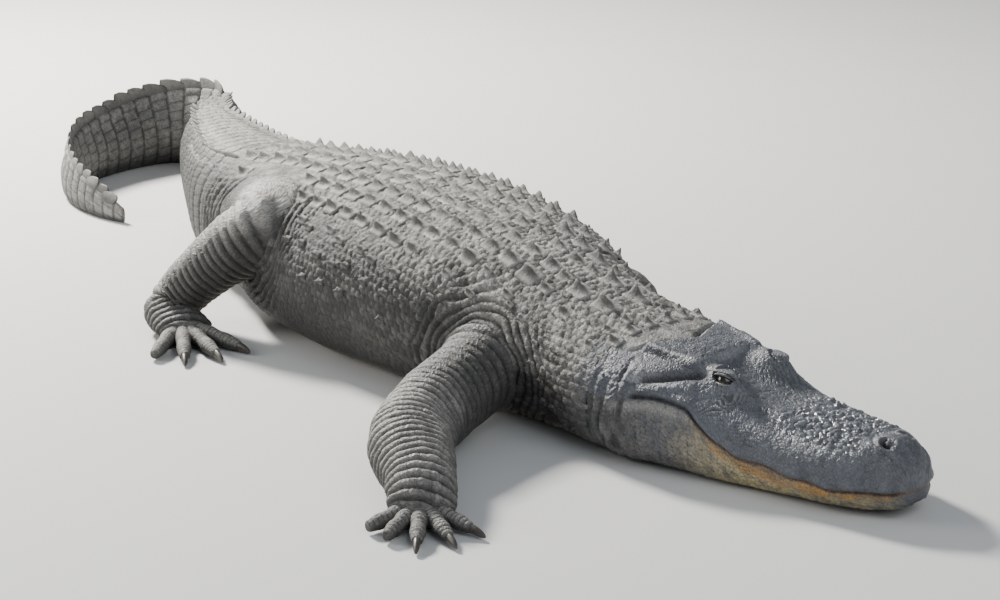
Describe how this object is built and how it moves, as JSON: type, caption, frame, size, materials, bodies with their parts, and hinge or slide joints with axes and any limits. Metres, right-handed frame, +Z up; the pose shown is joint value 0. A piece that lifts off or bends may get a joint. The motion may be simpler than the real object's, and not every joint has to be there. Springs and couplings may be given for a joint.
{
  "type": "american alligator model",
  "caption": "Life-size still model of an American alligator lying flat with its head down, elbows out and tail curled round, with keeled back plates and a tail crest.",
  "frame": {"origin": "centre of the animal's bounding box on the floor it lies on", "axes": "+X towards the head along the trunk, +Y to the animal's left, +Z up"},
  "size_m": [2.3396, 0.9874, 0.2653],
  "materials": {
    "hide": "dry grey-brown scaly hide with horn plates",
    "head_hide": "damp blue-black skin tight over the skull",
    "jaw_hide": "pale cream-grey jaw skin",
    "eye": "dark wet eye",
    "claw": "dark worn horn"
  },
  "bodies": {
    "root": {"head": "head_hide", "lower_jaw": "jaw_hide", "neck": "hide", "torso": "hide", "tail_1": "hide", "tail_2": "hide", "tail_3": "hide", "tail_4": "hide", "upper_arm_left": "hide", "upper_arm_right": "hide", "forearm_left": "hide", "forearm_right": "hide", "hand_left": "hide", "hand_right": "hide", "thigh_left": "hide", "thigh_right": "hide", "shank_left": "hide", "shank_right": "hide", "foot_left": "hide", "foot_right": "hide", "eye_left": "eye", "eye_right": "eye", "claw_hand_left_1": "claw", "claw_hand_left_2": "claw", "claw_hand_left_3": "claw", "claw_hand_right_1": "claw", "claw_hand_right_2": "claw", "claw_hand_right_3": "claw", "claw_foot_left_1": "claw", "claw_foot_left_2": "claw", "claw_foot_left_3": "claw", "claw_foot_right_1": "claw", "claw_foot_right_2": "claw", "claw_foot_right_3": "claw"}
  },
  "joints": []
}
